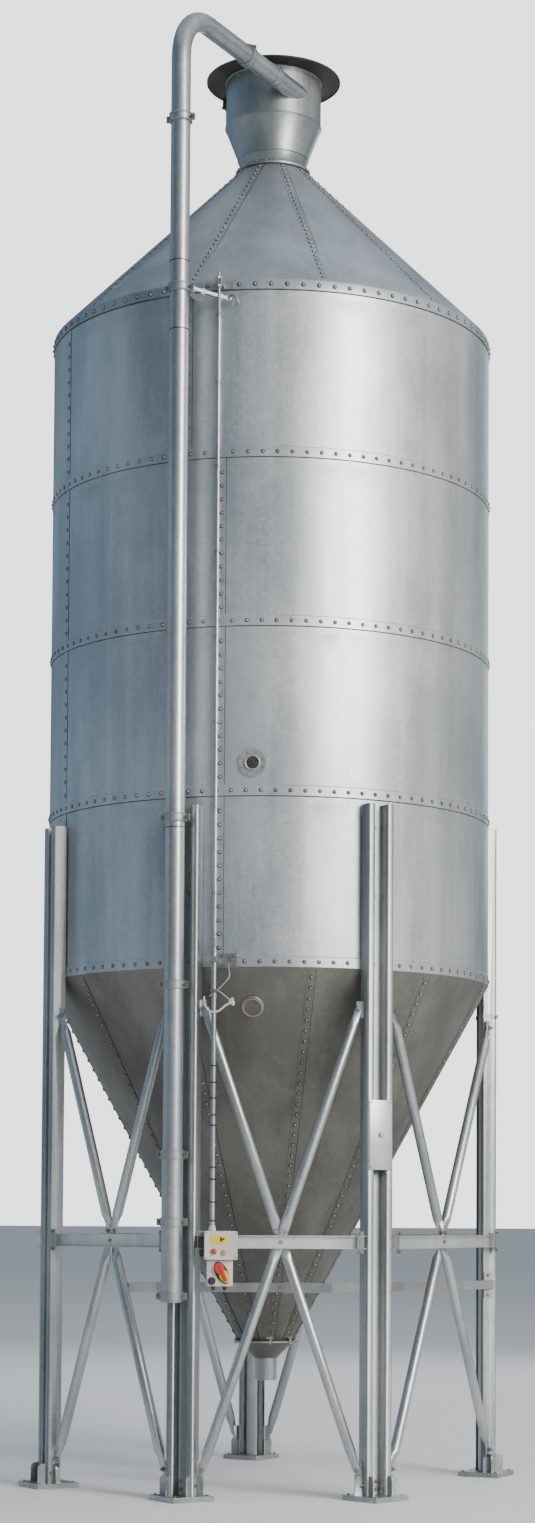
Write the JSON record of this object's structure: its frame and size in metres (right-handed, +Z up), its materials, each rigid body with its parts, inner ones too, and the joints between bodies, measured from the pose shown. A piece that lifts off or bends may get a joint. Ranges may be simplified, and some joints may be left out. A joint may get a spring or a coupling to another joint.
{
  "type": "pellet silo",
  "caption": "Free-standing galvanised steel pellet silo: bolted round shell, cone roof with cyclone, hopper and outlet, braced legs, fill pipe and control boxes.",
  "frame": {"origin": "on the floor under the middle of the bounding box; the tank's axis stands at X -0.0476, Y -0.0386", "axes": "+Z up along the tank's axis, -Y to the front where the fill pipe and the control boxes are, +X to the right seen from the front"},
  "size_m": [3.0514, 3.133, 8.8733],
  "materials": {
    "galvanised_sheet": "galvanised, satin",
    "weathered_sheet": "galvanised, weathered",
    "galvanised_section": "galvanised, satin",
    "galvanised_tube": "galvanised, smooth",
    "grey_plastic": "satin moulded"
  },
  "bodies": {
    "root": {"beam_1": "galvanised_section", "beam_2": "galvanised_section", "beam_3": "galvanised_section", "beam_4": "galvanised_section", "beam_5": "galvanised_section", "bend_band": "galvanised_tube", "brace_1_falling": "galvanised_tube", "brace_1_rising": "galvanised_tube", "brace_2_falling": "galvanised_tube", "brace_2_rising": "galvanised_tube", "brace_3_falling": "galvanised_tube", "brace_3_rising": "galvanised_tube", "conduit": "galvanised_section", "conduit_bracket_foot": "galvanised_section", "conduit_bracket_top": "galvanised_section", "conduit_riser": "galvanised_section", "control_box": "grey_plastic", "cyclone_cone": "galvanised_sheet", "cyclone_drum": "galvanised_sheet", "cyclone_lid": "weathered_sheet", "cyclone_neck": "galvanised_sheet", "fill_bend": "galvanised_tube", "fill_pipe_lower": "galvanised_tube", "fill_pipe_upper": "galvanised_tube", "fill_run": "galvanised_tube", "fill_sleeve": "galvanised_tube", "frame_bar_front": "galvanised_section", "frame_bar_left": "galvanised_section", "frame_bar_right": "galvanised_section", "hopper_cone": "weathered_sheet", "hopper_sight_glass": "weathered_sheet", "inlet_spout": "galvanised_tube", "isolator_box": "grey_plastic", "leg_1": "galvanised_section", "leg_2": "galvanised_section", "leg_3": "galvanised_section", "leg_4": "galvanised_section", "leg_5": "galvanised_section", "leg_cover_plate": "galvanised_sheet", "outlet_flange": "galvanised_section", "outlet_spout": "weathered_sheet", "pipe_clamp_1": "galvanised_tube", "pipe_clamp_2": "galvanised_tube", "pipe_clamp_3": "galvanised_tube", "pipe_clamp_4": "galvanised_tube", "pipe_clamp_5": "galvanised_tube", "pipe_clamp_6": "galvanised_tube", "roof_collar": "galvanised_section", "roof_cone": "galvanised_sheet", "shell_course_1": "galvanised_sheet", "shell_course_2": "galvanised_sheet", "shell_course_3": "galvanised_sheet", "shell_course_4": "galvanised_sheet", "shell_sight_glass": "weathered_sheet", "stay_left": "galvanised_tube", "stay_left_bracket": "galvanised_section", "stay_right": "galvanised_tube", "stay_right_bracket": "galvanised_section"}
  },
  "joints": []
}
